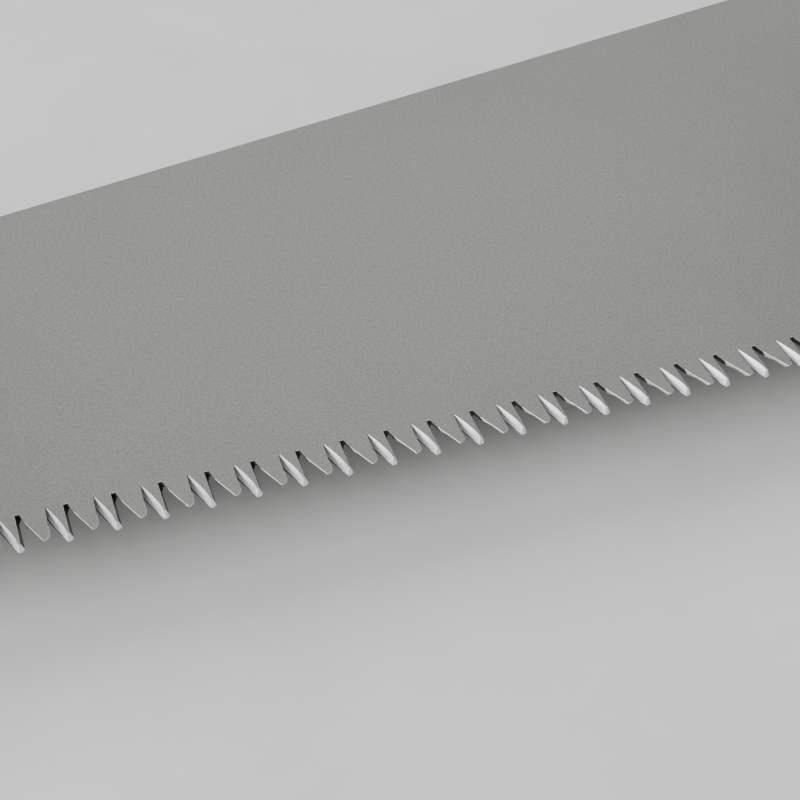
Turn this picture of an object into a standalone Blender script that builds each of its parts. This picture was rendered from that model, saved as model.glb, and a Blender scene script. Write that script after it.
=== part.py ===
"""Half-back saw: a tapered crosscut plate, a folded brass back on its heel half and a closed wooden handle.

The saw lies flat. X runs along the tooth line from toe to handle, +Y from the teeth to the back, Z through
the plate. Shapes are drawn with the toe end of the tooth tips at (0, 0) and the plate's mid-plane at z = 0;
the empty saw_frame then carries them all, so that the origin is at the bottom centre of the whole saw.
"""

import math

import bmesh
import bpy
from mathutils import Matrix, Vector

MM = 0.001
CLEARANCE = 0.3 * MM

# Plate
PITCH = 25.4 / 12 * MM
TOOTH_PAIRS = 71
PLAIN_END = 0.5 * PITCH
PLATE_LENGTH = 2 * TOOTH_PAIRS * PITCH + 2 * PLAIN_END
PLATE_THICKNESS = 0.8 * MM
TOE_WIDTH = 41.5 * MM
TAPER = 0.177
TOE_CORNER = 5 * MM

# Teeth, along the tooth line in pitches and in depth from the roots
FIRST_ROOT = PLAIN_END + 0.35 * PITCH
TOOTH_DEPTH = 1.68 * PITCH
TOOTH_SET = 0.10 * MM
GROUND_BASE = 0.69
GROUND_TIP = (0.735, 0.80)
GROUND_DROP = 0.03
FULL_TIP = (1.02, 1.27)
TIP_RISE = 0.12
BACK_BOW = 0.03

# Folded back
BACK_START = 140 * MM
BACK_END = 303 * MM
BACK_HEIGHT = 19 * MM
BACK_THICKNESS = 5 * MM
BACK_GRIP = 10 * MM
BACK_NOSE_RADIUS = 9 * MM
BACK_ROUNDING = 1.0 * MM

# Handle
HANDLE_THICKNESS = 22 * MM
HANDLE_ROUNDING = 4.5 * MM

# Saw bolts: name, (x, y), head radius
BOLTS = (
    ("front", (275.5, 69), 7.0),
    ("rear", (294, 73.5), 7.0),
    ("low", (281.5, 26.5), 7.0),
)
MEDALLION = ("medallion", (287, 49.5), 10.5)
HEAD_THICKNESS = 2.2 * MM
HEAD_DOME = 0.5 * MM
HEAD_RECESS = 0.25 * MM
NECK_SIDE = 5.5 * MM
NECK_LENGTH = 3.5 * MM
SHANK_RADIUS = 2.4 * MM
NUT_SLEEVE_RADIUS = 3.9 * MM
NUT_SLEEVE_LENGTH = 5.5 * MM
SLOT_WIDTH = 1.4 * MM
SLOT_DEPTH = 1.2 * MM
ROUND_STEPS = 28

SLOPE_ANGLE = math.atan(TAPER)


def plate_top(x):
    """Height of the plate's straight back edge over the tooth tips."""
    return TOE_WIDTH + TAPER * x


def clear_scene():
    for obj in list(bpy.data.objects):
        bpy.data.objects.remove(obj)


def new_collection(name):
    collection = bpy.data.collections.new(name)
    bpy.context.scene.collection.children.link(collection)
    return collection


def new_material(name, color, roughness, metallic):
    material = bpy.data.materials.new(name)
    material.use_nodes = True
    shader = material.node_tree.nodes["Principled BSDF"]
    shader.inputs["Base Color"].default_value = (*color, 1)
    shader.inputs["Roughness"].default_value = roughness
    shader.inputs["Metallic"].default_value = metallic
    return material


def new_object(name, bm, collection):
    bmesh.ops.recalc_face_normals(bm, faces=bm.faces)
    mesh = bpy.data.meshes.new(name)
    bm.to_mesh(mesh)
    bm.free()
    obj = bpy.data.objects.new(name, mesh)
    collection.objects.link(obj)
    return obj


def finish_part(obj, material, smooth_angle=35):
    obj.data.materials.append(material)
    obj.data.shade_smooth()
    obj.data.set_sharp_from_angle(angle=math.radians(smooth_angle))


def mesh_from_curve(obj):
    """Replaces a curve object by a closed mesh object with its name, place and collection."""
    bpy.context.view_layer.update()
    evaluated = obj.evaluated_get(bpy.context.evaluated_depsgraph_get())
    mesh = bpy.data.meshes.new_from_object(evaluated)
    bm = bmesh.new()
    bm.from_mesh(mesh)
    bmesh.ops.remove_doubles(bm, verts=bm.verts, dist=1e-6)
    bm.to_mesh(mesh)
    bm.free()
    name = obj.name
    solid = bpy.data.objects.new(name + "_solid", mesh)
    solid.matrix_world = obj.matrix_world.copy()
    for collection in obj.users_collection:
        collection.objects.link(solid)
    bpy.data.objects.remove(obj)
    solid.name = name
    return solid


def outline_curve(name, collection, half_thickness, rounding, resolution):
    """An empty flat curve whose faces lie half_thickness either side, with edges rounded inside its outline."""
    curve = bpy.data.curves.new(name, "CURVE")
    curve.dimensions = "2D"
    curve.fill_mode = "BOTH"
    curve.resolution_u = resolution
    curve.extrude = half_thickness - rounding
    curve.bevel_depth = rounding
    curve.bevel_resolution = 1
    curve.offset = -rounding
    obj = bpy.data.objects.new(name, curve)
    collection.objects.link(obj)
    return obj


def add_smooth_loop(curve, points):
    """A closed loop through (x, y) points in millimetres, smooth at each of them."""
    spline = curve.splines.new("BEZIER")
    spline.bezier_points.add(len(points) - 1)
    for knot, (x, y) in zip(spline.bezier_points, points):
        knot.co = (x * MM, y * MM, 0)
        knot.handle_left_type = knot.handle_right_type = "AUTO"
    spline.use_cyclic_u = True


def add_straight_loop(curve, points):
    spline = curve.splines.new("POLY")
    spline.points.add(len(points) - 1)
    for knot, (x, y) in zip(spline.points, points):
        knot.co = (x, y, 0, 1)
    spline.use_cyclic_u = True


def cutter(obj):
    obj.hide_render = True
    obj.display_type = "WIRE"
    return obj


def cut(obj, tool):
    boolean = obj.modifiers.new("cut_" + tool.name, "BOOLEAN")
    boolean.operation = "DIFFERENCE"
    boolean.object = tool


def add_block(bm, low, high):
    """A box between two corners."""
    centre = (Vector(low) + Vector(high)) / 2
    size = Vector(high) - Vector(low)
    matrix = Matrix.Translation(centre) @ Matrix.Diagonal((*size, 1))
    bmesh.ops.create_cube(bm, size=1, matrix=matrix)


def add_disc(bm, x, y, radius, low, high):
    """A cylinder along Z between two heights."""
    bmesh.ops.create_cone(
        bm,
        cap_ends=True,
        segments=ROUND_STEPS,
        radius1=radius,
        radius2=radius,
        depth=high - low,
        matrix=Matrix.Translation((x, y, (low + high) / 2)),
    )


def arc(centre, radius, start, end, steps):
    """Points on a circle from one angle to another, in degrees."""
    for step in range(steps + 1):
        angle = math.radians(start + (end - start) * step / steps)
        yield (centre[0] + radius * math.cos(angle), centre[1] + radius * math.sin(angle))


# ---------------------------------------------------------------- plate


def back_edge(root, tip, steps=3):
    """The long side of a tooth as (x, depth) fractions, bowed outwards a little."""
    for step in range(1, steps):
        part = step / steps
        bow = BACK_BOW * math.sin(math.pi * part)
        yield (root + (tip - root) * part - bow, part)


def tooth_outline(ground, start):
    """One tooth on one face, root to root, as (pitches along, fraction of the depth).

    A ground tooth is the narrow outline that the wheel leaves on the side it cuts from; a full tooth is the
    wide one on the other side, with the short facet that blunts its tip.
    """
    if ground:
        base, tip, drop, rise = GROUND_BASE, GROUND_TIP, GROUND_DROP, TIP_RISE / 2
    else:
        base, tip, drop, rise = 2 - GROUND_BASE, FULL_TIP, 0.0, TIP_RISE
    points = [(start, 0.0)]
    points += back_edge(start, start + tip[0])
    points.append((start + tip[0], 1.0 - drop))
    points.append((start + tip[1], 1.0 - drop - rise))
    points.append((start + base, 0.0))
    return points


def tooth_pair_outlines(pair, side):
    """Both teeth of a pair on the upper (side 1) or lower (side -1) face."""
    start = 2.0 * pair
    if side > 0:
        return tooth_outline(True, start), tooth_outline(False, start + GROUND_BASE)
    lead = start + GROUND_BASE - 1
    return tooth_outline(False, lead), tooth_outline(True, start + 1)


def make_saw_plate(collection, material):
    """The plate's two faces and its teeth, lofted between the unlike outlines of the two faces."""
    bm = bmesh.new()
    half = PLATE_THICKNESS / 2
    edge_loops = {}
    for side in (1, -1):
        loop = []
        for pair in range(TOOTH_PAIRS):
            for number, outline in enumerate(tooth_pair_outlines(pair, side)):
                lean = TOOTH_SET * (-1 if number == 0 else 1)
                tooth = []
                for along, part in outline:
                    place = (
                        FIRST_ROOT + along * PITCH,
                        TOOTH_DEPTH * (1 - part),
                        side * half + lean * part,
                    )
                    if part == 0 and loop and not tooth:
                        tooth.append(loop[-1])
                    else:
                        tooth.append(bm.verts.new(place))
                bm.faces.new(tooth)
                loop += tooth if not loop else tooth[1:]
        edge_loops[side] = loop
    rims = {}
    for side in (1, -1):
        rim = [
            (PLATE_LENGTH, TOOTH_DEPTH),
            (PLATE_LENGTH, plate_top(PLATE_LENGTH)),
        ]
        rim += arc((TOE_CORNER, plate_top(0) - TOE_CORNER), TOE_CORNER, 100, 180, 5)
        rim.append((0, TOOTH_DEPTH))
        corners = [bm.verts.new((x, y, side * half)) for x, y in rim]
        roots = [vert for vert in edge_loops[side] if abs(vert.co.y - TOOTH_DEPTH) < 1e-7]
        bm.faces.new(roots + corners)
        rims[side] = corners
    upper = edge_loops[1] + rims[1]
    lower = edge_loops[-1] + rims[-1]
    for index in range(len(upper)):
        following = (index + 1) % len(upper)
        bm.faces.new((upper[index], upper[following], lower[following], lower[index]))
    bmesh.ops.triangulate(bm, faces=[face for face in bm.faces if len(face.verts) > 4])
    plate = new_object("saw_plate", bm, collection)
    finish_part(plate, material)
    return plate


# ---------------------------------------------------------------- back


def back_frame():
    """Axes of the back: X along the plate's top edge from its front end, Y away from the teeth."""
    return Matrix.Translation((BACK_START, plate_top(BACK_START), 0)) @ Matrix.Rotation(SLOPE_ANGLE, 4, "Z")


def back_length():
    return (BACK_END - BACK_START) / math.cos(SLOPE_ANGLE)


def make_half_back(collection, cutters, material):
    """A strip of brass folded over the plate's top edge, with a rounded nose at its front end."""
    low = -BACK_GRIP
    high = BACK_HEIGHT - BACK_GRIP
    length = back_length()
    radius = BACK_NOSE_RADIUS
    obj = outline_curve("half_back", collection, BACK_THICKNESS / 2, BACK_ROUNDING, 12)
    outline = [(length, low), (length, high)]
    outline += arc((radius, high - radius), radius, 90, 180, 6)
    outline += arc((2.5 * MM, low + 2.5 * MM), 2.5 * MM, 180, 270, 3)
    add_straight_loop(obj.data, outline)
    obj.matrix_world = back_frame()
    back = mesh_from_curve(obj)

    bm = bmesh.new()
    half = PLATE_THICKNESS / 2 + CLEARANCE
    add_block(bm, (-10 * MM, low - 10 * MM, -half), (length + 10 * MM, CLEARANCE, half))
    fold = cutter(new_object("back_fold_cutter", bm, cutters))
    fold.matrix_world = back_frame()
    cut(back, fold)
    finish_part(back, material)
    return back


# ---------------------------------------------------------------- handle

HANDLE_OUTLINE = (
    (257, 104),
    (255, 97),
    (256.5, 86),
    (261, 74),
    (262, 62),
    (259, 49),
    (258, 37),
    (263, 26),
    (273, 18),
    (287, 12.5),
    (305, 9.5),
    (330, 7),
    (352, 6),
    (372, 4.5),
    (388, 2.5),
    (399, 5),
    (399.5, 12),
    (392, 22),
    (383, 35),
    (377, 49),
    (374, 64),
    (370, 79),
    (367.5, 91),
    (371, 100),
    (381, 105.5),
    (393, 108),
    (402, 113),
    (400, 121),
    (389, 124.5),
    (372, 122),
    (352, 117),
    (330, 115),
    (308, 115),
    (283, 111),
)

HAND_HOLE = (
    (329, 100),
    (319, 92),
    (316, 76),
    (318.5, 58),
    (322, 42),
    (325, 30),
    (333, 22),
    (345, 20),
    (354, 26),
    (354, 39),
    (350, 56),
    (346, 74),
    (342, 90),
)


def make_kerf_cutter(cutters):
    """The saw cut that takes the plate's heel."""
    bm = bmesh.new()
    half = PLATE_THICKNESS / 2 + CLEARANCE
    outline = (
        (230 * MM, -10 * MM),
        (PLATE_LENGTH + CLEARANCE, -10 * MM),
        (PLATE_LENGTH + CLEARANCE, plate_top(PLATE_LENGTH) + CLEARANCE),
        (230 * MM, plate_top(230 * MM) + CLEARANCE),
    )
    face = bm.faces.new([bm.verts.new((x, y, -half)) for x, y in outline])
    raised = bmesh.ops.extrude_face_region(bm, geom=[face])
    moved = [item for item in raised["geom"] if isinstance(item, bmesh.types.BMVert)]
    bmesh.ops.translate(bm, verts=moved, vec=(0, 0, 2 * half))
    return cutter(new_object("kerf_cutter", bm, cutters))


def make_mortise_cutter(cutters):
    """The slot along the handle's top front that takes the folded back."""
    bm = bmesh.new()
    half = BACK_THICKNESS / 2 + CLEARANCE
    add_block(
        bm,
        (60 * MM, -BACK_GRIP - CLEARANCE, -half),
        (back_length() + CLEARANCE, BACK_HEIGHT - BACK_GRIP + CLEARANCE, half),
    )
    mortise = cutter(new_object("mortise_cutter", bm, cutters))
    mortise.matrix_world = back_frame()
    return mortise


def make_bolt_hole_cutter(name, place, head_radius, cutters):
    """Counterbores for head and nut, a square for the neck and round holes for shank and sleeve."""
    x, y = (value * MM for value in place)
    cheek = HANDLE_THICKNESS / 2
    outside = cheek + 5 * MM
    head_floor = cheek - HEAD_RECESS - HEAD_THICKNESS - CLEARANCE
    neck_half = NECK_SIDE / 2 + CLEARANCE
    pieces = bmesh.new()
    add_disc(pieces, x, y, head_radius * MM + CLEARANCE, head_floor, outside)
    hole = cutter(new_object(name + "_head_cutter", pieces, cutters))
    others = []
    square = bmesh.new()
    neck_floor = head_floor - NECK_LENGTH
    add_block(square, (x - neck_half, y - neck_half, neck_floor), (x + neck_half, y + neck_half, cheek))
    others.append(square)
    for radius, low, high in (
        (SHANK_RADIUS + CLEARANCE, -cheek, cheek - HEAD_THICKNESS),
        (NUT_SLEEVE_RADIUS + CLEARANCE, -cheek, -head_floor + NUT_SLEEVE_LENGTH),
        (head_radius * MM + CLEARANCE, -outside, -head_floor),
    ):
        round_hole = bmesh.new()
        add_disc(round_hole, x, y, radius, low, high)
        others.append(round_hole)
    for number, bm in enumerate(others):
        other = cutter(new_object(f"{name}_step_{number}_cutter", bm, cutters))
        union = hole.modifiers.new("step", "BOOLEAN")
        union.operation = "UNION"
        union.object = other
    return hole


def make_handle(collection, cutters, material):
    obj = outline_curve("handle", collection, HANDLE_THICKNESS / 2, HANDLE_ROUNDING, 4)
    add_smooth_loop(obj.data, HANDLE_OUTLINE)
    add_smooth_loop(obj.data, HAND_HOLE)
    handle = mesh_from_curve(obj)
    cut(handle, make_kerf_cutter(cutters))
    cut(handle, make_mortise_cutter(cutters))
    for name, place, head_radius in (*BOLTS, MEDALLION):
        cut(handle, make_bolt_hole_cutter(name, place, head_radius, cutters))
    finish_part(handle, material, 50)
    return handle


def drill_plate(plate, cutters):
    """Clearance holes for the shanks through the plate's heel."""
    for name, place, _ in (*BOLTS, MEDALLION):
        bm = bmesh.new()
        x, y = (value * MM for value in place)
        add_disc(bm, x, y, SHANK_RADIUS + CLEARANCE, -5 * MM, 5 * MM)
        cut(plate, cutter(new_object(name + "_plate_hole_cutter", bm, cutters)))


# ---------------------------------------------------------------- bolts and nuts


def turned(name, profile, collection):
    """A solid turned about Z from (radius, height) points that run from the top to the bottom."""
    bm = bmesh.new()
    verts = [bm.verts.new((radius, 0, height)) for radius, height in profile]
    for first, second in zip(verts, verts[1:]):
        bm.edges.new((first, second))
    mesh = bpy.data.meshes.new(name)
    bm.to_mesh(mesh)
    bm.free()
    obj = bpy.data.objects.new(name, mesh)
    collection.objects.link(obj)
    screw = obj.modifiers.new("turn", "SCREW")
    screw.steps = screw.render_steps = ROUND_STEPS
    screw.use_merge_vertices = True
    screw.merge_threshold = 1e-6
    return obj


def dome(radius, base, rise, steps=4):
    """A shallow crown from its centre to its rim, as (radius, height) points."""
    for step in range(steps + 1):
        part = step / steps
        yield (radius * part, base + rise * (1 - part * part))


def make_bolt(name, place, head_radius, collection, cutters, material):
    """A domed head over a square neck and a plain shank that ends flush with the split nut."""
    radius = head_radius * MM
    cheek = HANDLE_THICKNESS / 2
    top = cheek - HEAD_RECESS
    under = top - HEAD_THICKNESS
    tail = -(cheek - HEAD_RECESS - 0.2 * MM)
    profile = list(dome(radius - 0.5 * MM, top - HEAD_DOME, HEAD_DOME))
    profile += [(radius, top - HEAD_DOME - 0.4 * MM), (radius, under), (SHANK_RADIUS, under)]
    profile += [(SHANK_RADIUS, tail + 0.3 * MM), (SHANK_RADIUS - 0.3 * MM, tail), (0, tail)]
    bolt = turned(name, profile, collection)
    bolt.location = (place[0] * MM, place[1] * MM, 0)
    half = NECK_SIDE / 2
    bm = bmesh.new()
    add_block(bm, (-half, -half, under - NECK_LENGTH), (half, half, under + 0.5 * MM))
    neck = cutter(new_object(name + "_neck", bm, cutters))
    neck.location = bolt.location
    union = bolt.modifiers.new("neck", "BOOLEAN")
    union.operation = "UNION"
    union.object = neck
    finish_part(bolt, material)
    return bolt


def make_nut(name, place, head_radius, collection, cutters, material):
    """A split nut: a disc with a sleeve, bored through, with a driver slot across its face."""
    radius = head_radius * MM
    bore = SHANK_RADIUS + CLEARANCE
    face = -(HANDLE_THICKNESS / 2 - HEAD_RECESS)
    inside = face + HEAD_THICKNESS
    sleeve_end = inside + NUT_SLEEVE_LENGTH - CLEARANCE
    profile = [
        (bore, sleeve_end),
        (NUT_SLEEVE_RADIUS, sleeve_end),
        (NUT_SLEEVE_RADIUS, inside),
        (radius, inside),
        (radius, face + 0.3 * MM),
        (radius - 0.3 * MM, face),
        (bore, face),
        (bore, sleeve_end),
    ]
    nut = turned(name, profile, collection)
    nut.location = (place[0] * MM, place[1] * MM, 0)
    bm = bmesh.new()
    reach = radius + 2 * MM
    add_block(bm, (-reach, -SLOT_WIDTH / 2, face - 2 * MM), (reach, SLOT_WIDTH / 2, face + SLOT_DEPTH))
    slot = cutter(new_object(name + "_slot_cutter", bm, cutters))
    slot.location = nut.location
    slot.rotation_euler = (0, 0, math.radians(25))
    cut(nut, slot)
    finish_part(nut, material)
    return nut


# ---------------------------------------------------------------- the saw


def lowest_and_highest(objects):
    """Corners of the box around the evaluated objects."""
    bpy.context.view_layer.update()
    graph = bpy.context.evaluated_depsgraph_get()
    points = []
    for obj in objects:
        evaluated = obj.evaluated_get(graph)
        mesh = evaluated.to_mesh()
        points += [evaluated.matrix_world @ vert.co for vert in mesh.vertices]
        evaluated.to_mesh_clear()
    low = Vector(min(point[axis] for point in points) for axis in range(3))
    high = Vector(max(point[axis] for point in points) for axis in range(3))
    return low, high


def set_on_origin(parts, cutters):
    """Puts everything under one empty, so that the origin is at the bottom centre of the saw."""
    low, high = lowest_and_highest(parts)
    frame = bpy.data.objects.new("saw_frame", None)
    frame.location = (-(low.x + high.x) / 2, -(low.y + high.y) / 2, -low.z)
    bpy.context.scene.collection.objects.link(frame)
    for obj in [*parts, *cutters.objects]:
        obj.parent = frame


def main():
    clear_scene()
    collection = new_collection("half_back_saw")
    cutters = new_collection("cutters")
    steel = new_material("satin_steel", (0.27, 0.27, 0.265), 0.55, 1.0)
    brass = new_material("brass", (0.60, 0.42, 0.17), 0.32, 1.0)
    beech = new_material("beech", (0.42, 0.22, 0.10), 0.42, 0.0)

    plate = make_saw_plate(collection, steel)
    drill_plate(plate, cutters)
    parts = [
        plate,
        make_half_back(collection, cutters, brass),
        make_handle(collection, cutters, beech),
    ]
    for name, place, head_radius in BOLTS:
        parts.append(make_bolt("saw_bolt_" + name, place, head_radius, collection, cutters, brass))
        parts.append(make_nut("split_nut_" + name, place, head_radius, collection, cutters, brass))
    name, place, head_radius = MEDALLION
    parts.append(make_bolt(name + "_bolt", place, head_radius, collection, cutters, brass))
    parts.append(make_nut(name + "_nut", place, head_radius, collection, cutters, brass))
    set_on_origin(parts, cutters)


main()
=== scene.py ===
"""Looks of the half-back saw: satin plate with ground teeth, folded brass back, beech handle, brass bolts.

Lengths are in millimetres in the saw's own drawing, with the toe end of the tooth tips at (0, 0) and the
plate's mid-plane at z = 0. place() carries a mesh from there to the frame.
"""

import math

import bmesh
import bpy
from mathutils import Matrix, Vector


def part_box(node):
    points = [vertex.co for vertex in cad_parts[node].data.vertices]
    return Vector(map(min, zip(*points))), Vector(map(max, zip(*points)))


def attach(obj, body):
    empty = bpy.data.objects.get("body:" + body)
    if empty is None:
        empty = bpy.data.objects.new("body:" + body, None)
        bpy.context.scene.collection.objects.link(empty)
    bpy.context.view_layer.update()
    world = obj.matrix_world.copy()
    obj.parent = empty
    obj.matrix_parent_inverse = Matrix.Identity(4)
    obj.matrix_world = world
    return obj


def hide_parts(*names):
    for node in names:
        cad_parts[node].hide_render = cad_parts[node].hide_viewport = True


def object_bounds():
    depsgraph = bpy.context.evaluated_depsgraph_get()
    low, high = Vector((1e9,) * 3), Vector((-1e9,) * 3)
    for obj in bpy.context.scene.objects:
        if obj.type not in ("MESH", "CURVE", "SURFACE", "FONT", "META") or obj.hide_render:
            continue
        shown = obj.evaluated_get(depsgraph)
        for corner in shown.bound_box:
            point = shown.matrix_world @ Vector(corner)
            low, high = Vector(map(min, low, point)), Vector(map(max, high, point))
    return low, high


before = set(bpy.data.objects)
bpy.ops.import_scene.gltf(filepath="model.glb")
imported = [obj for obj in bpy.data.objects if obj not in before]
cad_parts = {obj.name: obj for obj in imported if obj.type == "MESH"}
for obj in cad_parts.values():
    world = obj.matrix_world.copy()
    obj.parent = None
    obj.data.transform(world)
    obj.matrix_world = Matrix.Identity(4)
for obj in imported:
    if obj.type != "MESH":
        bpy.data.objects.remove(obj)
cad_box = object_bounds()

MM = 0.001
plate_low, plate_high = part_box("saw_plate")
handle_low, handle_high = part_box("handle")
ORIGIN = Vector((plate_low.x, plate_low.y, (plate_low.z + plate_high.z) / 2))

# Plate
PITCH = 25.4 / 12
TOOTH_PAIRS = 71
PLATE_LENGTH = (plate_high.x - plate_low.x) / MM
FIRST_ROOT = 0.85 * PITCH
PLATE_HALF = 0.4
PLATE_RISE = 0.177
TOE_WIDTH = (plate_high.y - plate_low.y) / MM - PLATE_RISE * PLATE_LENGTH
TOE_CORNER = 5.0
EDGE_BREAK = 0.08
PLATE_HOLE_RADIUS = 2.7
PLATE_HOLE_STEPS = 32

# Teeth, in pitches, but for the set and the break of the edges, in millimetres
TOOTH_DEPTH = 1.68
BEVEL_WIDTH = 0.30
BEVEL_NARROWING = 0.85
TOOTH_SET = 0.10
EDGE_LIGHT = 0.032
BACK_STEPS = 10
RAKE_STEPS = 6
FACET_STEPS = ((0.45, 0.12), (0.80, 0.42), (1.0, 1.0))
GROUND_NOSE = (0.09, 0.05)
GULLET_WIDTH = 0.11
GULLET_REACH = 0.5
GULLET_BOW = 0.09
GULLET_SHIFT = 0.08
GULLET_BEND = 0.12
# Painted shade: the part of each back wall, from its far edge, given the dark gullet steel at the root, and
# the least fraction of it kept towards the tip.
SHADE_SHARE = 0.26
LEAST_SHADE = 0.3

# Folded back
SLOPE_ANGLE = math.atan(PLATE_RISE)
BACK_START = 140.0
BACK_END = 303.0
BACK_LENGTH = (BACK_END - BACK_START) / math.cos(SLOPE_ANGLE)
BACK_HEIGHT = 19.0
BACK_THICKNESS = 5.0
BACK_GRIP = 10.0
BACK_NOSE_RADIUS = 9.0
BACK_LIP_RADIUS = 2.5
BACK_SPACING = 0.9
BACK_SMOOTHING = 3
FOLD_GAP = 0.04

# Handle
CHEEK = (handle_high.z - handle_low.z) / 2 / MM
SAMPLE_SPACING = 1.3
HANDLE_SMOOTHING = 7
HANDLE_SHARP_ANGLE = 40
KERF_START = 230
MORTISE_START = 60
FIT_GAP = 0.12

# Bolts and nuts
HEAD_THICKNESS = 2.2
HEAD_RECESS = 0.25
HEAD_DOME = 0.5
NECK_SIDE = 5.5
NECK_LENGTH = 3.5
SHANK_RADIUS = 2.4
NUT_SLEEVE_RADIUS = 3.9
NUT_SLEEVE_LENGTH = 5.5
SLOT_WIDTH = 1.4
SLOT_DEPTH = 1.2
SLOT_ANGLE = 25
TURN_STEPS = 72
FIELD_DEPTH = 0.55
BEADS = 40
PETALS = 8
BEAD_SIDES = 14
BEAD_ROWS = 8

# Camera: place from the toe end of the tooth tips, turn towards the handle and tilt down in degrees, lens
CAMERA_PLACE = (38.52, -67.65, 88.14)
CAMERA_TURN = 16.76
CAMERA_DOWN = 48.46
CAMERA_LENS = 55.2
SENSOR_WIDTH = 36


def place(obj):
    """Puts an object drawn in millimetres on the frame, in metres."""
    matrix = Matrix.Translation(ORIGIN) @ Matrix.Scale(MM, 4)
    obj.data.transform(matrix)
    return obj


# ---------------------------------------------------------------- node materials


class Shader:
    """A material's node tree with short calls for the nodes used here."""

    def __init__(self, name, roughness=0.5, metallic=0.0, **inputs):
        self.material = bpy.data.materials.new(name)
        self.material.use_nodes = True
        self.tree = self.material.node_tree
        self.shader = self.tree.nodes["Principled BSDF"]
        self.set("Roughness", roughness)
        self.set("Metallic", metallic)
        for key, value in inputs.items():
            self.set(key.replace("_", " "), value)
        self.coords = self.tree.nodes.new("ShaderNodeTexCoord").outputs["Object"]

    def set(self, socket, value):
        self.shader.inputs[socket].default_value = value

    def link(self, source, target):
        self.tree.links.new(source, target)

    def drive(self, socket, source):
        self.link(source, self.shader.inputs[socket])

    def mapped(self, scale=(1, 1, 1), rotation=(0, 0, 0), vector=None):
        node = self.tree.nodes.new("ShaderNodeMapping")
        node.inputs["Scale"].default_value = scale
        node.inputs["Rotation"].default_value = rotation
        self.link(vector or self.coords, node.inputs["Vector"])
        return node.outputs["Vector"]

    def axis(self, name):
        node = self.tree.nodes.new("ShaderNodeSeparateXYZ")
        self.link(self.coords, node.inputs[0])
        return node.outputs[name]

    def colour_noise(self, scale):
        node = self.tree.nodes.new("ShaderNodeTexNoise")
        node.inputs["Scale"].default_value = scale
        self.link(self.coords, node.inputs["Vector"])
        return node.outputs["Color"]

    def noise(self, scale, detail=3.0, roughness=0.55, vector=None, distortion=0.0):
        node = self.tree.nodes.new("ShaderNodeTexNoise")
        node.inputs["Scale"].default_value = scale
        node.inputs["Detail"].default_value = detail
        node.inputs["Roughness"].default_value = roughness
        node.inputs["Distortion"].default_value = distortion
        self.link(vector or self.coords, node.inputs["Vector"])
        return node.outputs["Fac"]

    def wave(self, scale, distortion, detail, vector, kind="BANDS", direction="Y", detail_scale=1.0):
        node = self.tree.nodes.new("ShaderNodeTexWave")
        node.wave_type = kind
        if kind == "BANDS":
            node.bands_direction = direction
        else:
            node.rings_direction = direction
        node.inputs["Scale"].default_value = scale
        node.inputs["Distortion"].default_value = distortion
        node.inputs["Detail"].default_value = detail
        node.inputs["Detail Scale"].default_value = detail_scale
        self.link(vector, node.inputs["Vector"])
        return node.outputs["Fac"]

    def ramp(self, source, *stops):
        """Colours at places from 0 to 1: each stop is (place, colour or grey)."""
        node = self.tree.nodes.new("ShaderNodeValToRGB")
        elements = node.color_ramp.elements
        while len(elements) < len(stops):
            elements.new(0.5)
        for element, (at, color) in zip(elements, stops):
            element.position = at
            element.color = (color, color, color, 1) if isinstance(color, float) else (*color, 1)
        self.link(source, node.inputs["Fac"])
        return node.outputs["Color"]

    def between(self, source, low, high, new_low, new_high):
        node = self.tree.nodes.new("ShaderNodeMapRange")
        for key, value in zip(("From Min", "From Max", "To Min", "To Max"), (low, high, new_low, new_high)):
            node.inputs[key].default_value = value
        self.link(source, node.inputs["Value"])
        return node.outputs["Result"]

    def mix(self, kind, factor, first, second):
        node = self.tree.nodes.new("ShaderNodeMix")
        node.data_type = "RGBA"
        node.blend_type = kind
        for socket, value in (
            (node.inputs[0], factor),
            (node.inputs[6], first),
            (node.inputs[7], second),
        ):
            if isinstance(value, bpy.types.NodeSocket):
                self.link(value, socket)
            elif isinstance(value, tuple):
                socket.default_value = (*value, 1)
            else:
                socket.default_value = value
        return node.outputs[2]

    def math(self, kind, first, second=0.5):
        node = self.tree.nodes.new("ShaderNodeMath")
        node.operation = kind
        for socket, value in zip(node.inputs, (first, second)):
            if isinstance(value, bpy.types.NodeSocket):
                self.link(value, socket)
            else:
                socket.default_value = value
        return node.outputs[0]

    def bump(self, height, strength, depth):
        """Adds a bump of the given depth in metres; bumps stack in the order of the calls."""
        node = self.tree.nodes.new("ShaderNodeBump")
        node.inputs["Strength"].default_value = strength
        node.inputs["Distance"].default_value = depth
        self.link(height, node.inputs["Height"])
        normal = self.shader.inputs["Normal"]
        if normal.is_linked:
            self.link(normal.links[0].from_socket, node.inputs["Normal"])
        self.link(node.outputs["Normal"], normal)


def satin_steel():
    """Blasted plate steel: even grey, with a grain of about a quarter of a millimetre."""
    s = Shader("satin_plate_steel", 0.5, 1.0)
    grain = s.noise(4200, 4, 0.65)
    broad = s.noise(38, 3, 0.5)
    dark, middle, light = (0.142, 0.141, 0.136), (0.200, 0.199, 0.193), (0.262, 0.260, 0.252)
    tone = s.ramp(grain, (0.30, dark), (0.5, middle), (0.70, light))
    cloud = s.ramp(broad, (0.3, 0.94), (0.7, 1.0))
    s.drive("Base Color", s.mix("MULTIPLY", 1.0, tone, cloud))
    s.drive("Roughness", s.between(grain, 0.25, 0.75, 0.50, 0.62))
    s.bump(grain, 0.35, 0.02 * MM)
    return s.material


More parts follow.
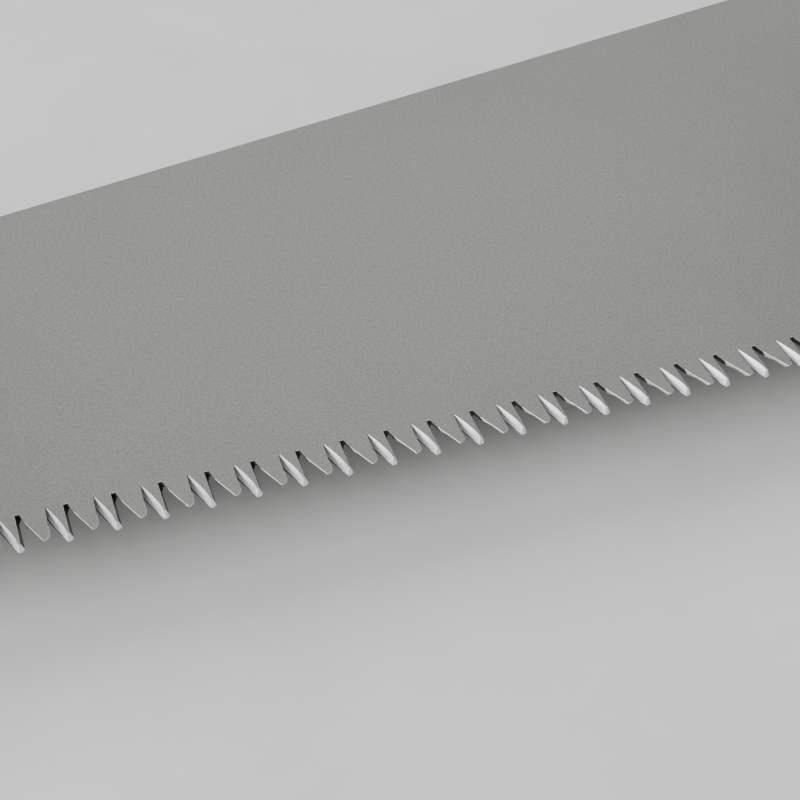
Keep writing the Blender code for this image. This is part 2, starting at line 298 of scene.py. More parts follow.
def ground_steel():
    """Fresh ground bevels: bright, with the wheel's fine lines running across the plate."""
    s = Shader("ground_bevel_steel", 0.5, 0.6)
    lines = s.noise(1.0, 3, 0.6, s.mapped((9000, 9000, 900)))
    blotch = s.noise(6500, 2, 0.6)
    s.drive("Base Color", s.ramp(blotch, (0.32, (0.66, 0.66, 0.65)), (0.62, (0.96, 0.96, 0.95))))
    s.drive("Roughness", s.between(lines, 0.3, 0.7, 0.42, 0.58))
    s.bump(lines, 0.25, 0.01 * MM)
    return s.material


def gullet_painted_shade():
    """Dull dark steel painted on the gullet floors and walls and beside the bevels, as painted shade."""
    s = Shader("gullet_painted_shade", 0.6, 1.0)
    scale = s.noise(5200, 3, 0.6)
    s.drive("Base Color", s.ramp(scale, (0.3, (0.035, 0.034, 0.033)), (0.7, (0.075, 0.073, 0.070))))
    s.drive("Roughness", s.between(scale, 0.3, 0.7, 0.5, 0.7))
    s.bump(scale, 0.3, 0.01 * MM)
    return s.material


def oiled_beech():
    """Steamed beech with its grain along the saw, short dark flecks, fine pores and a patina at the grip."""
    s = Shader("oiled_beech", 0.4, 0.0, Coat_Weight=0.22, Coat_Roughness=0.28)
    bent = s.mix("ADD", 0.012, s.coords, s.colour_noise(14))
    bands = s.noise(1.0, 3, 0.55, s.mapped((9, 150, 110), vector=bent), 0.6)
    fibres = s.noise(1.0, 4, 0.65, s.mapped((55, 1500, 1500), vector=bent))
    flecks = s.noise(1.0, 2, 0.5, s.mapped((330, 3000, 2200), vector=bent))
    wear = s.noise(45, 4, 0.6)
    dark, middle, light = (0.285, 0.118, 0.040), (0.41, 0.190, 0.072), (0.53, 0.272, 0.112)
    tone = s.ramp(bands, (0.26, dark), (0.5, middle), (0.76, light))
    streak = s.ramp(fibres, (0.25, 0.66), (0.58, 1.0))
    fleck = s.ramp(flecks, (0.60, 1.0), (0.70, 0.60))
    tone = s.mix("MULTIPLY", 1.0, tone, streak)
    tone = s.mix("MULTIPLY", 1.0, tone, fleck)
    towards_grip = s.between(s.axis("X"), *GRIP_PATINA, 0.0, 1.0)
    grip = s.math("MULTIPLY", towards_grip, s.ramp(wear, (0.2, 0.55), (0.7, 1.0)))
    s.drive("Base Color", s.mix("MULTIPLY", grip, tone, (0.66, 0.56, 0.48)))
    s.drive("Roughness", s.between(wear, 0.3, 0.7, 0.34, 0.48))
    s.bump(fibres, 0.22, 0.10 * MM)
    s.bump(fleck, 0.25, 0.05 * MM)
    return s.material


def brass(name, pattern):
    """Handled brass: yellow where rubbed, browner in blotches, with the marks of brushing or turning."""
    s = Shader(name, 0.32, 1.0)
    blotch = s.noise(150, 5, 0.62)
    specks = s.noise(1300, 3, 0.6)
    if pattern == "brushed":
        marks = s.noise(1.0, 4, 0.65, s.mapped((28, 3200, 3200), (0, 0, -SLOPE_ANGLE)))
    else:
        marks = s.wave(850, 1.6, 3, s.coords, "RINGS", "Z", 3.0)
    dark, middle, light = (0.42, 0.255, 0.080), (0.54, 0.350, 0.115), (0.61, 0.415, 0.150)
    tone = s.ramp(blotch, (0.26, dark), (0.50, middle), (0.76, light))
    tone = s.mix("MULTIPLY", 1.0, tone, s.ramp(specks, (0.28, 0.70), (0.42, 1.0)))
    s.drive("Base Color", s.mix("MULTIPLY", 1.0, tone, s.ramp(marks, (0.3, 0.78), (0.62, 1.0))))
    s.drive("Roughness", s.between(blotch, 0.3, 0.7, 0.42, 0.28))
    s.bump(marks, 0.35, 0.03 * MM)
    s.bump(specks, 0.10, 0.03 * MM)
    return s.material


# ---------------------------------------------------------------- mesh helpers


def new_mesh_object(name, bm, *materials):
    mesh = bpy.data.meshes.new(name)
    bm.to_mesh(mesh)
    bm.free()
    obj = bpy.data.objects.new(name, mesh)
    bpy.context.scene.collection.objects.link(obj)
    for material in materials:
        mesh.materials.append(material)
    return obj


def ring(bm, points):
    return [bm.verts.new(point) for point in points]


def bridge(bm, first, second, material=0, smooth=False, closed=True):
    """Quads between two rows of vertices of equal length."""
    count = len(first)
    for index in range(count if closed else count - 1):
        following = (index + 1) % count
        face = bm.faces.new((first[index], first[following], second[following], second[index]))
        face.material_index = material
        face.smooth = smooth


def fill(bm, loops, material=0):
    """Flat triangles inside the first loop and outside the others."""
    edges = []
    for loop in loops:
        for index, vert in enumerate(loop):
            following = loop[(index + 1) % len(loop)]
            edges.append(bm.edges.get((vert, following)) or bm.edges.new((vert, following)))
    made = bmesh.ops.triangle_fill(bm, use_beauty=True, use_dissolve=False, edges=edges)
    for item in made["geom"]:
        if isinstance(item, bmesh.types.BMFace):
            item.material_index = material
            item.smooth = False


# ---------------------------------------------------------------- plate


def plate_top(x):
    """The taper line, which the top edge meets at the heel and starts 0.8 mm under at the toe's corner."""
    return TOE_WIDTH + PLATE_RISE * x


# The third steel is dark steel painted as shade in the gullets and beside the bevels.
SATIN, GROUND, GULLET_SHADE = 0, 1, 2
UPPER, LOWER = 1, -1

# Each tooth of a pair, in pitches. The long side runs from root to tip and the blunt end from tip to facet,
# where it has risen by rise. The steep side meets the root at full_root on the full face and at ground_root
# on the ground one, whose point is shorter by nose. from is the face that was ground.
TEETH = (
    {
        "root": -0.29, "tip": 0.655, "facet": 0.905, "rise": 0.13,
        "full_root": 0.89, "ground_root": 0.69, "nose": 0.15, "from": UPPER,
    },
    {
        "root": 0.77, "tip": 1.735, "facet": 2.02, "rise": 0.25,
        "full_root": 1.97, "ground_root": 1.71, "nose": 0.28, "from": LOWER,
    },
)


def tooth_outlines(tooth, start):
    """Rows of (x, depth) in pitches from root to root, for the full face and for the ground face."""
    depth, tip, facet = TOOTH_DEPTH, tooth["tip"], tooth["facet"]
    full, ground = [], []
    for step in range(BACK_STEPS + 1):
        part = step / BACK_STEPS
        x, down = tooth["root"] + (tip - tooth["root"]) * part, depth * part
        full.append((x + GULLET_WIDTH * max(0.0, 1 - part / GULLET_REACH) ** 2, down))
        bevel = BEVEL_WIDTH * (1 - BEVEL_NARROWING * part**3)
        if tooth["from"] == LOWER:
            bevel -= GULLET_BOW * math.sin(math.pi * min(part / GULLET_REACH, 1.0))
            bevel -= GULLET_SHIFT * max(0.0, 1 - part / GULLET_REACH)
        ground.append((x + bevel, down * (1 - tooth["nose"] / depth * part**2)))
    nose_x, nose_down = ground[-1]
    for along, rise in FACET_STEPS:
        full.append((tip + along * (facet - tip), depth - rise * tooth["rise"]))
        ground.append((nose_x + GROUND_NOSE[0] * along, nose_down - GROUND_NOSE[1] * along))
    bend = GULLET_BEND if tooth["from"] == UPPER else 0.0
    full_start, ground_start = full[-1], ground[-1]
    for step in range(1, RAKE_STEPS + 1):
        part = step / RAKE_STEPS
        foot = tooth["full_root"] - (bend if step < RAKE_STEPS else 0.0)
        full.append((full_start[0] + (foot - full_start[0]) * part, full_start[1] * (1 - part)))
        ground.append(
            (ground_start[0] + (tooth["ground_root"] - ground_start[0]) * part, ground_start[1] * (1 - part))
        )
    return [[(start + x, down) for x, down in row] for row in (full, ground)]


def inset_row(row, distance):
    """The row moved into the tooth by a distance; its two root points move straight up into the plate."""
    moved = []
    for index, (x, down) in enumerate(row):
        if index in (0, len(row) - 1):
            moved.append((x, down - distance))
            continue
        along = Vector(row[index + 1]) - Vector(row[index - 1])
        along.normalize()
        moved.append((x + along.y * distance, down - along.x * distance))
    return moved


def wall_steels(side, index, count):
    """Steels of one step round a tooth: the wall's upper part, its lower part and the broken edges; the
    gullet steel is painted shade.
    """
    edge = GROUND
    # Painted shade: dark steel on the last walls, down at the gullet root.
    if index >= count - 3:
        upper = lower = GULLET_SHADE
    elif index > BACK_STEPS + 2:
        upper = lower = SATIN
    else:
        upper = lower = GROUND
    # Painted shade: the part of the back wall away from the bevel is dark steel over most of the tooth's
    # length.
    if index < BACK_STEPS - 2:
        upper, lower = (GROUND, GULLET_SHADE) if side == UPPER else (GULLET_SHADE, GROUND)
    # Painted shade: dark steel on the lower-face teeth's first walls by the gullet, with satin edges.
    if side == LOWER and index < 3:
        upper, lower, edge = GULLET_SHADE, GULLET_SHADE, SATIN
    # Painted shade: dark steel on the broken edges near the rake root of the lower-face teeth.
    if side == LOWER and index > count - 6:
        edge = GULLET_SHADE
    return upper, lower, edge


def make_plate(*steels):
    """Two faces joined by the ground bevels, with small breaks along every edge."""
    bm = bmesh.new()
    outline = {UPPER: [], LOWER: []}
    inner = {UPPER: [], LOWER: []}
    kinds = []
    middle = []

    def vertex(point, z):
        x, down = point
        return bm.verts.new((FIRST_ROOT + x * PITCH, (TOOTH_DEPTH - down) * PITCH, z))

    def face(verts, material, smooth=False):
        made = bm.faces.new(verts)
        made.material_index = material
        made.smooth = smooth

    inset = EDGE_LIGHT / PITCH
    for pair in range(TOOTH_PAIRS):
        for tooth in TEETH:
            side = tooth["from"]
            full, ground = tooth_outlines(tooth, 2.0 * pair)
            for place_side, row in ((side, ground), (-side, full)):
                tooth_inner = []
                for point, inside in zip(row, inset_row(row, inset)):
                    lean = -side * TOOTH_SET * point[1] / TOOTH_DEPTH
                    outline[place_side].append(vertex(point, place_side * (PLATE_HALF - EDGE_LIGHT) + lean))
                    tooth_inner.append(vertex(inside, place_side * PLATE_HALF + lean))
                face(tooth_inner, SATIN)
                inner[place_side] += tooth_inner
            count = len(full)
            for index, (far, near) in enumerate(zip(full, ground)):
                # Painted shade: the middle row splits each wall, so that the part next to the far edge can
                # take the dark gullet steel.
                part = index / BACK_STEPS
                shade_share = SHADE_SHARE * max(LEAST_SHADE, 1 - part)
                lean = -side * TOOTH_SET * far[1] / TOOTH_DEPTH
                point = (far[0] + (near[0] - far[0]) * shade_share, far[1] + (near[1] - far[1]) * shade_share)
                middle.append(vertex(point, side * (2 * shade_share - 1) * (PLATE_HALF - EDGE_LIGHT) + lean))
                kinds.append(wall_steels(side, index, count))
    for index in range(len(middle) - 1):
        following = index + 1
        upper_kind, lower_kind, edge_kind = kinds[index]
        smooth = (index % len(full)) < BACK_STEPS
        up, low = outline[UPPER], outline[LOWER]
        face((up[index], up[following], middle[following], middle[index]), upper_kind, smooth)
        face((middle[index], middle[following], low[following], low[index]), lower_kind, smooth)
        for side in (UPPER, LOWER):
            edge, flat = outline[side], inner[side]
            face((edge[index], edge[following], flat[following], flat[index]), edge_kind)
    upper, lower = inner[UPPER], inner[LOWER]

    root_y = TOOTH_DEPTH * PITCH
    corner = [
        (
            TOE_CORNER * (1 + math.cos(math.radians(angle))),
            plate_top(0) - TOE_CORNER * (1 - math.sin(math.radians(angle))),
        )
        for angle in range(100, 181, 8)
    ]
    rim = [(PLATE_LENGTH, root_y), (PLATE_LENGTH, plate_top(PLATE_LENGTH)), *corner, (0.0, root_y)]

    def inward(x, y):
        return (
            x + EDGE_BREAK if x < TOE_CORNER else x - EDGE_BREAK if x > PLATE_LENGTH - 1 else x,
            y - EDGE_BREAK if y > TOE_CORNER + root_y else y + EDGE_LIGHT,
        )

    soft = PLATE_HALF - EDGE_BREAK
    rims = {}
    holes = {}
    for side, line in ((UPPER, upper), (LOWER, lower)):
        flat = ring(bm, [(*inward(x, y), side * PLATE_HALF) for x, y in rim])
        edge = ring(bm, [(x, y, side * soft) for x, y in rim])
        bridge(bm, flat, edge, GROUND, closed=False)
        rims[side] = edge
        roots = [vert for vert in line if abs(vert.co.y - root_y - EDGE_LIGHT) < 1e-6]
        holes[side] = [
            ring(bm, circle(x, y, PLATE_HOLE_RADIUS, side * PLATE_HALF, PLATE_HOLE_STEPS))
            for x, y in BOLT_PLACES
        ]
        fill(bm, [roots + flat, *holes[side]], SATIN)
        ends = outline[side]
        face((line[-1], flat[0], edge[0], ends[-1]), SATIN)
        face((line[0], flat[-1], edge[-1], ends[0]), SATIN)
    bridge(bm, rims[UPPER], rims[LOWER], SATIN, closed=False)
    for high, low in zip(holes[UPPER], holes[LOWER]):
        bridge(bm, high, low, SATIN)
    for end, rim_end in ((-1, 0), (0, -1)):
        above = (outline[UPPER][end], rims[UPPER][rim_end])
        below = (rims[LOWER][rim_end], outline[LOWER][end])
        face((*above, *below, middle[end]), SATIN)
    bmesh.ops.recalc_face_normals(bm, faces=bm.faces)
    return place(new_mesh_object("plate", bm, *steels))


def circle(x, y, radius, z, steps):
    return [
        (x + radius * math.cos(math.tau * step / steps), y + radius * math.sin(math.tau * step / steps), z)
        for step in range(steps)
    ]


def bolt_place(node):
    low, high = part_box(node)
    centre = (low + high) / 2 - ORIGIN
    return (centre.x / MM, centre.y / MM)


BOLT_NODES = ("saw_bolt_front", "saw_bolt_rear", "saw_bolt_low", "medallion_bolt")
NUT_NODES = ("split_nut_front", "split_nut_rear", "split_nut_low", "medallion_nut")
BOLT_PLACES = [bolt_place(node) for node in BOLT_NODES]


# ---------------------------------------------------------------- shaped slabs


def even_points(points, spacing):
    """Points at about an even spacing along the closed loop through the given ones."""
    points = [Vector(point) for point in points]
    lengths = [(points[(index + 1) % len(points)] - point).length for index, point in enumerate(points)]
    total = sum(lengths)
    count = round(total / spacing)
    even = []
    index, passed = 0, 0.0
    for step in range(count):
        wanted = total * step / count
        while passed + lengths[index] < wanted:
            passed += lengths[index]
            index += 1
        part = (wanted - passed) / lengths[index]
        even.append(points[index].lerp(points[(index + 1) % len(points)], part))
    return even


def smooth_loop(points):
    """The smooth closed loop through the given points, as evenly spaced points."""
    curve = bpy.data.curves.new("loop", "CURVE")
    curve.dimensions = "3D"
    curve.resolution_u = 24
    spline = curve.splines.new("BEZIER")
    spline.bezier_points.add(len(points) - 1)
    for knot, (x, y) in zip(spline.bezier_points, points):
        knot.co = (x, y, 0)
        knot.handle_left_type = knot.handle_right_type = "AUTO"
    spline.use_cyclic_u = True
    obj = bpy.data.objects.new("loop", curve)
    bpy.context.scene.collection.objects.link(obj)
    bpy.context.view_layer.update()
    mesh = bpy.data.meshes.new_from_object(obj.evaluated_get(bpy.context.evaluated_depsgraph_get()))
    dense = [vert.co.xy.copy() for vert in mesh.vertices]
    bpy.data.objects.remove(obj)
    return even_points(dense, SAMPLE_SPACING)


def area_of(points):
    return sum(point.cross(points[(index + 1) % len(points)]) for index, point in enumerate(points)) / 2


def smoothed(values, reach):
    """Values round a loop averaged with their neighbours, twice."""
    count = len(values)
    for _ in range(2):
        values = [
            sum(values[(index + shift) % count] for shift in range(-reach, reach + 1)) / (2 * reach + 1)
            for index in range(count)
        ]
    return values


ROUND_ANGLES = (0, 12, 25, 38, 52, 66, 79, 90)
FLAT_MARGIN = 0.3


def rounded_rows(bm, points, inwards, shape, half, reach):
    """Rows of vertices over a slab's rounded side, from the flat on its lower face to that on the upper one.

    shape gives the rounding's width and height at a place; inwards is 1 for a slab's outside, -1 for a hole.
    """
    if area_of(points) < 0:
        points = points[::-1]
    count = len(points)
    widths = smoothed([shape(point.x, point.y)[0] for point in points], reach)
    heights = smoothed([shape(point.x, point.y)[1] for point in points], reach)
    sides = []
    for index in range(count):
        along = (points[(index + 1) % count] - points[index - 1]).normalized()
        sides.append(Vector((-along.y, along.x)) * inwards)
    rows = []
    for face_side in (LOWER, UPPER):
        part_rows = []
        for degrees in (*ROUND_ANGLES, None):
            angle = math.radians(90 if degrees is None else degrees)
            margin = FLAT_MARGIN if degrees is None else 0.0
            row = []
            for point, side, width, height in zip(points, sides, widths, heights):
                x, y = point + side * (width * (1 - math.cos(angle)) + margin)
                row.append((x, y, face_side * (half - height + height * math.sin(angle))))
            part_rows.append(row)
        if face_side == LOWER:
            rows += part_rows[::-1]
        else:
            rows += part_rows if min(half - height for height in heights) > 1e-6 else part_rows[1:]
    return [ring(bm, row) for row in rows]


def shaped_slab(name, outline, outline_shape, half, reach, hole=None, hole_shape=None):
    """A slab with flat faces and sides rounded by a different amount from place to place."""
    bm = bmesh.new()
    groups = [rounded_rows(bm, outline, 1, outline_shape, half, reach)]
    if hole:
        groups.append(rounded_rows(bm, hole, -1, hole_shape, half, reach))
    for rows in groups:
        for first, second in zip(rows, rows[1:]):
            bridge(bm, first, second, smooth=True)
    for end in (0, -1):
        fill(bm, [rows[end] for rows in groups])
    bmesh.ops.remove_doubles(bm, verts=bm.verts, dist=1e-4)
    bmesh.ops.recalc_face_normals(bm, faces=bm.faces)
    return new_mesh_object(name, bm)


def carve(obj, tools, operation="DIFFERENCE"):
    """Applies exact Booleans with each tool in turn and removes the tools."""
    for tool in tools:
        boolean = obj.modifiers.new("carve", "BOOLEAN")
        boolean.operation = operation
        boolean.solver = "EXACT"
        boolean.object = tool
    bpy.context.view_layer.update()
    mesh = bpy.data.meshes.new_from_object(obj.evaluated_get(bpy.context.evaluated_depsgraph_get()))
    obj.modifiers.clear()
    obj.data = mesh
    for tool in tools:
        bpy.data.objects.remove(tool)


def finish_piece(obj, material, sharp_angle=35):
    obj.data.materials.clear()
    obj.data.materials.append(material)
    obj.data.shade_smooth()
    obj.data.set_sharp_from_angle(angle=math.radians(sharp_angle))
    return obj


def block(name, low, high, matrix=Matrix()):
    bm = bmesh.new()
    size = Vector(high) - Vector(low)
    middle = (Vector(low) + Vector(high)) / 2
    matrix = matrix @ Matrix.Translation(middle) @ Matrix.Diagonal((*size, 1))
    bmesh.ops.create_cube(bm, size=1, matrix=matrix)
    return new_mesh_object(name, bm)


def turned(name, profile, x=0.0, y=0.0):
    """A solid turned about an axis along Z from (radius, height) points that start and end on the axis."""
    bm = bmesh.new()
    rows = []
    for radius, height in profile:
        if radius == 0:
            rows.append([bm.verts.new((x, y, height))])
        else:
            rows.append(ring(bm, circle(x, y, radius, height, TURN_STEPS)))
    for first, second in zip(rows, rows[1:]):
        if len(first) == len(second):
            bridge(bm, first, second)
            continue
        centre, edge = (first, second) if len(first) == 1 else (second, first)
        for index, vert in enumerate(edge):
            bm.faces.new((centre[0], vert, edge[(index + 1) % len(edge)]))
    bmesh.ops.recalc_face_normals(bm, faces=bm.faces)
    return new_mesh_object(name, bm)


# ---------------------------------------------------------------- folded back


def back_frame():
    """Axes of the back: X along the plate's top edge from its front end, Y away from the teeth."""
    return Matrix.Translation((BACK_START, plate_top(BACK_START), 0)) @ Matrix.Rotation(SLOPE_ANGLE, 4, "Z")


def arc(centre, radius, start, end, steps):
    """Points on a circle from one angle to another, in degrees."""
    for step in range(steps + 1):
        angle = math.radians(start + (end - start) * step / steps)
        yield (centre[0] + radius * math.cos(angle), centre[1] + radius * math.sin(angle))


def make_back():
    low = -BACK_GRIP
    high = BACK_HEIGHT - BACK_GRIP
    outline = [(BACK_LENGTH, low), (BACK_LENGTH, high)]
    outline += arc((BACK_NOSE_RADIUS, high - BACK_NOSE_RADIUS), BACK_NOSE_RADIUS, 90, 180, 16)
    outline += arc((BACK_LIP_RADIUS, low + BACK_LIP_RADIUS), BACK_LIP_RADIUS, 180, 270, 8)

    def shape(x, y):
        if y < low + 1 and x < BACK_LENGTH - 1:
            return (0.5, 0.5)
        return (2.0, 2.0) if y > low + 4 and x < BACK_LENGTH - 1 else (0.9, 0.9)

    outline = even_points(outline, BACK_SPACING)
    slab = shaped_slab("back", outline, shape, BACK_THICKNESS / 2, BACK_SMOOTHING)
    half = PLATE_HALF + FOLD_GAP
    carve(slab, [block("fold", (-10, low - 10, -half), (BACK_LENGTH + 10, FIT_GAP, half))])
    slab.data.transform(back_frame())
    return place(finish_piece(slab, brass("brushed_brass", "brushed")))


# ---------------------------------------------------------------- handle


HANDLE_OUTLINE = (
    (257, 104), (255, 97), (256.5, 86), (261, 74), (262, 62), (259, 49), (258, 37), (263, 26), (273, 18),
    (287, 12.5), (305, 9.5), (330, 7), (352, 6), (372, 4.5), (388, 2.5), (399, 5), (399.5, 12), (392, 22),
    (383, 35), (377, 49), (374, 64), (370, 79), (367.5, 91), (371, 100), (381, 105.5), (393, 108), (402, 113),
    (400, 121), (389, 124.5), (372, 122), (352, 117), (330, 115), (308, 115), (283, 111),
)
HAND_HOLE = (
    (329, 100), (319, 92), (316, 76), (318.5, 58), (322, 42), (325, 30), (333, 22), (345, 20), (354, 26),
    (354, 39), (350, 56), (346, 74), (342, 90),
)
GRIP_PATINA = (0.100, 0.165)


def outside_rounding(x, y):
    """Width and height of the rounding: crisp round the cheek, full at the back of the grip."""
    if x < 266:
        return (2.2, 2.6)
    if x < 300:
        return (3.2, 4.0)
    if x > 379:
        return (4.4, 8.5)
    if x > 360 and 27 < y < 97:
        return (10.0, CHEEK)
    return (5.5, 8.0)


def hole_rounding(x, y):
    if x > 340 and 28 < y < 90:
        return (10.0, CHEEK)
    return (6.5, 8.5)


def bolt_hole(x, y, head_radius):
    """The stepped hole for one bolt and its nut, through both cheeks."""
    floor = CHEEK - HEAD_RECESS - HEAD_THICKNESS - FIT_GAP
    wide = head_radius + FIT_GAP
    neck = NECK_SIDE * math.sqrt(0.5) + 2 * FIT_GAP
    sleeve = NUT_SLEEVE_RADIUS + 2 * FIT_GAP
    shank = SHANK_RADIUS + 2 * FIT_GAP
    neck_floor = floor - NECK_LENGTH - 2 * FIT_GAP
    sleeve_top = -floor + NUT_SLEEVE_LENGTH + FIT_GAP
    beyond = CHEEK + 4
    profile = [
        (0, beyond), (wide, beyond), (wide, floor), (neck, floor), (neck, neck_floor), (shank, neck_floor),
        (shank, sleeve_top), (sleeve, sleeve_top), (sleeve, -floor), (wide, -floor), (wide, -beyond),
        (0, -beyond),
    ]
    return turned("bolt_hole", profile, x, y)


def make_kerf():
    """The slot that takes the plate's heel, cut out of the handle."""
    half = PLATE_HALF + FIT_GAP
    below = -10
    heel = PLATE_LENGTH + FIT_GAP
    profile = (
        (KERF_START, below), (heel, below),
        (heel, plate_top(heel) + FIT_GAP), (KERF_START, plate_top(KERF_START)),
    )
    bm = bmesh.new()
    rows = [ring(bm, [(x, y, z) for x, y in profile]) for z in (-half, half)]
    bridge(bm, *rows)
    bm.faces.new(rows[0])
    bm.faces.new(rows[1])
    bmesh.ops.recalc_face_normals(bm, faces=bm.faces)
    return new_mesh_object("kerf", bm)


def make_handle():
    low, high = (handle_low - ORIGIN).xy / MM, (handle_high - ORIGIN).xy / MM
    outline = [
        Vector((min(max(point.x, low.x), high.x), min(max(point.y, low.y), high.y)))
        for point in smooth_loop(HANDLE_OUTLINE)
    ]
    hole = smooth_loop(HAND_HOLE)
    reach = HANDLE_SMOOTHING
    handle = shaped_slab("handle_look", outline, outside_rounding, CHEEK, reach, hole, hole_rounding)
    thick = BACK_THICKNESS / 2 + FIT_GAP
    mortise_low = (MORTISE_START, -BACK_GRIP - FIT_GAP, -thick)
    mortise_high = (BACK_LENGTH + FIT_GAP, BACK_HEIGHT - BACK_GRIP + FIT_GAP, thick)
    tools = [make_kerf(), block("mortise", mortise_low, mortise_high, back_frame())]
    tools += [bolt_hole(*bolt_place(node), head_radius(node)) for node in BOLT_NODES]
    carve(handle, tools)
    return place(finish_piece(handle, oiled_beech(), HANDLE_SHARP_ANGLE))


# ---------------------------------------------------------------- bolts and nuts


def head_radius(node):
    low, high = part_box(node)
    return (high.x - low.x) / 2 / MM


def centred(obj, node):
    """Puts a turned piece, drawn about its own axis in millimetres, where its node stands."""
    x, y = bolt_place(node)
    obj.data.transform(Matrix.Scale(MM, 4))
    obj.location = ORIGIN + Vector((x, y, 0)) * MM
    return obj


def plain_head(radius, top):
    """A low crown with a fine turned line inside its rim."""
    crown = []
    for step in range(7):
        part = step / 6
        crown.append(((radius - 0.9) * part, top - HEAD_DOME * part * part * 0.8))
    line = top - HEAD_DOME * 0.8
    return crown + [
        (radius - 0.75, line - 0.14), (radius - 0.6, line), (radius - 0.25, line - 0.05),
        (radius, line - 0.35),
    ]


def medallion_head(radius, top):
    """A boss in a sunk field, inside a step, a channel for beads and a raised rim."""
    field = top - FIELD_DEPTH
    return [
        (0, top - 0.05), (1.2, top - 0.12), (2.1, top - 0.32), (2.5, field),
        (3.0, field), (3.25, field + 0.18), (3.6, field + 0.18), (3.8, field),
        (7.3, field), (7.5, field + 0.28), (7.8, field + 0.28), (8.0, field),
        (9.2, field), (9.45, top - 0.12), (9.9, top - 0.08), (radius - 0.2, top - 0.2), (radius, top - 0.6),
    ]


def add_ellipsoid(bm, centre, size, angle=0.0):
    """A bead of the given half sizes, turned about Z, built row by row so that its faces keep one order."""
    matrix = Matrix.Translation(centre) @ Matrix.Rotation(angle, 4, "Z") @ Matrix.Diagonal((*size, 1))
    rows = []
    for step in range(1, BEAD_ROWS):
        tilt = math.pi * step / BEAD_ROWS
        level = circle(0, 0, math.sin(tilt), -math.cos(tilt), BEAD_SIDES)
        rows.append(ring(bm, [matrix @ Vector((-y, x, z)) for x, y, z in level]))
    for lower, upper in zip(rows, rows[1:]):
        bridge(bm, lower, upper)
    bottom, top = ring(bm, [matrix @ Vector((0, 0, end)) for end in (-1, 1)])
    for index in range(BEAD_SIDES):
        following = (index + 1) % BEAD_SIDES
        bm.faces.new((bottom, rows[0][following], rows[0][index]))
        bm.faces.new((top, rows[-1][index], rows[-1][following]))


def add_rosette(bolt, field):
    """A ring of beads round a ring of petals, with a small berry between each two petals."""

    def spot(radius, angle):
        return (radius * math.cos(angle), radius * math.sin(angle), field)

    bm = bmesh.new()
    bm.from_mesh(bolt.data)
    for bead in range(BEADS):
        add_ellipsoid(bm, spot(8.6, math.tau * bead / BEADS), (0.46, 0.46, 0.36))
    for petal in range(PETALS):
        angle = math.tau * petal / PETALS
        add_ellipsoid(bm, spot(5.5, angle), (1.45, 0.75, 0.34), angle)
        add_ellipsoid(bm, spot(6.5, angle + math.pi / PETALS), (0.4, 0.4, 0.24))
    bm.to_mesh(bolt.data)
    bm.free()


def make_bolt(node, material):
    radius = head_radius(node)
    top = CHEEK - HEAD_RECESS
    under = top - HEAD_THICKNESS
    tail = -(CHEEK - HEAD_RECESS - 0.2)
    is_medallion = node == "medallion_bolt"
    head = medallion_head(radius, top) if is_medallion else plain_head(radius, top)
    shank = [
        (radius, under), (SHANK_RADIUS, under),
        (SHANK_RADIUS, tail + 0.3), (SHANK_RADIUS - 0.3, tail), (0, tail),
    ]
    bolt = turned(node + "_look", head + shank)
    half = NECK_SIDE / 2
    carve(bolt, [block("neck", (-half, -half, under - NECK_LENGTH), (half, half, under + 0.4))], "UNION")
    if is_medallion:
        add_rosette(bolt, top - FIELD_DEPTH)
    return centred(finish_piece(bolt, material), node)


def make_nut(node, material):
    """A disc with a sleeve and a driver slot on either side of the bolt's end."""
    radius = head_radius(node)
    bore = SHANK_RADIUS + FIT_GAP
    face = -(CHEEK - HEAD_RECESS)
    inside = face + HEAD_THICKNESS
    sleeve_end = inside + NUT_SLEEVE_LENGTH
    profile = [
        (bore, sleeve_end), (NUT_SLEEVE_RADIUS, sleeve_end), (NUT_SLEEVE_RADIUS, inside), (radius, inside),
        (radius, face + 0.35), (radius - 0.25, face + 0.08), (radius - 0.6, face), (bore + 0.2, face),
        (bore, face + 0.2), (bore, sleeve_end),
    ]
    nut = turned(node + "_look", profile)
    bm = bmesh.new()
    bm.from_mesh(nut.data)
    bmesh.ops.remove_doubles(bm, verts=bm.verts, dist=1e-5)
    bmesh.ops.recalc_face_normals(bm, faces=bm.faces)
    bm.to_mesh(nut.data)
    bm.free()
    reach = radius + 2
    turn = Matrix.Rotation(math.radians(SLOT_ANGLE), 4, "Z")
    low, high = (-reach, -SLOT_WIDTH / 2, face - 2), (reach, SLOT_WIDTH / 2, face + SLOT_DEPTH)
    carve(nut, [block("slot", low, high, turn)])
    return centred(finish_piece(nut, material), node)


# ---------------------------------------------------------------- camera, light and floor


def look(obj, target):
    direction = Vector(target) - obj.location
    obj.rotation_euler = direction.to_track_quat("-Z", "Y").to_euler()


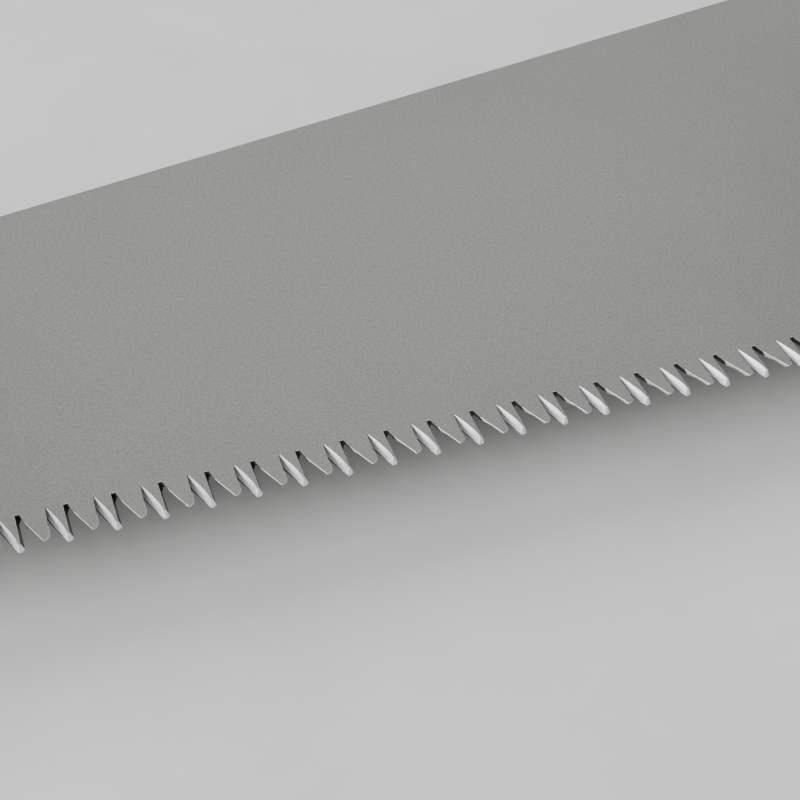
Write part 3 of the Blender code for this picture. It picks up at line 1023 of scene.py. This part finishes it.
def make_camera():
    """Over the teeth near the toe, looking down at the plate and a little towards the handle."""
    data = bpy.data.cameras.new("camera")
    data.lens = CAMERA_LENS
    data.sensor_width = SENSOR_WIDTH
    data.clip_start = 0.005
    camera = bpy.data.objects.new("camera", data)
    bpy.context.scene.collection.objects.link(camera)
    camera.location = ORIGIN + Vector(CAMERA_PLACE) * MM
    turn, down = math.radians(CAMERA_TURN), math.radians(CAMERA_DOWN)
    level = math.cos(down)
    direction = Vector((math.sin(turn) * level, math.cos(turn) * level, -math.sin(down)))
    camera.rotation_euler = direction.to_track_quat("-Z", "Y").to_euler()
    bpy.context.scene.camera = camera


def area_light(name, place_at, target, size, power):
    data = bpy.data.lights.new(name, "AREA")
    data.shape = "RECTANGLE"
    data.size, data.size_y = size
    data.energy = power
    light = bpy.data.objects.new(name, data)
    light.location = place_at
    bpy.context.scene.collection.objects.link(light)
    look(light, target)


def make_stage():
    s = Shader("pale_floor", 0.85)
    mottle = s.noise(60, 4, 0.6)
    s.drive("Base Color", s.ramp(mottle, (0.3, (0.66, 0.66, 0.65)), (0.7, (0.72, 0.72, 0.71))))
    s.bump(mottle, 0.05, 0.2 * MM)
    bpy.ops.mesh.primitive_plane_add(size=40, location=(0, 0, cad_box[0][2] - 0.05 * MM))
    floor = bpy.context.object
    floor.name = "floor"
    floor.data.materials.append(s.material)
    world = bpy.data.worlds.new("studio")
    world.use_nodes = True
    background = world.node_tree.nodes["Background"].inputs
    background["Color"].default_value = (0.80, 0.81, 0.82, 1)
    background["Strength"].default_value = 0.25
    bpy.context.scene.world = world
    area_light("back_light", (0.04, 0.75, 0.92), (-0.1, 0, 0), size=(1.5, 0.9), power=14)
    area_light("left_light", (-0.95, -0.30, 0.55), (-0.1, -0.03, 0.01), size=(0.6, 0.5), power=13)
    area_light("front_fill", (0.75, -0.65, 0.45), (0.1, 0, 0), size=(0.6, 0.6), power=3)


# ---------------------------------------------------------------- assembly


def put(piece, node):
    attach(piece, "root")
    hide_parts(node)


def main():
    make_camera()
    make_stage()
    put(make_plate(satin_steel(), ground_steel(), gullet_painted_shade()), "saw_plate")
    put(make_back(), "half_back")
    put(make_handle(), "handle")
    turned_brass = brass("turned_brass", "turned")
    for bolt, nut in zip(BOLT_NODES, NUT_NODES):
        put(make_bolt(bolt, turned_brass), bolt)
        put(make_nut(nut, turned_brass), nut)


main()
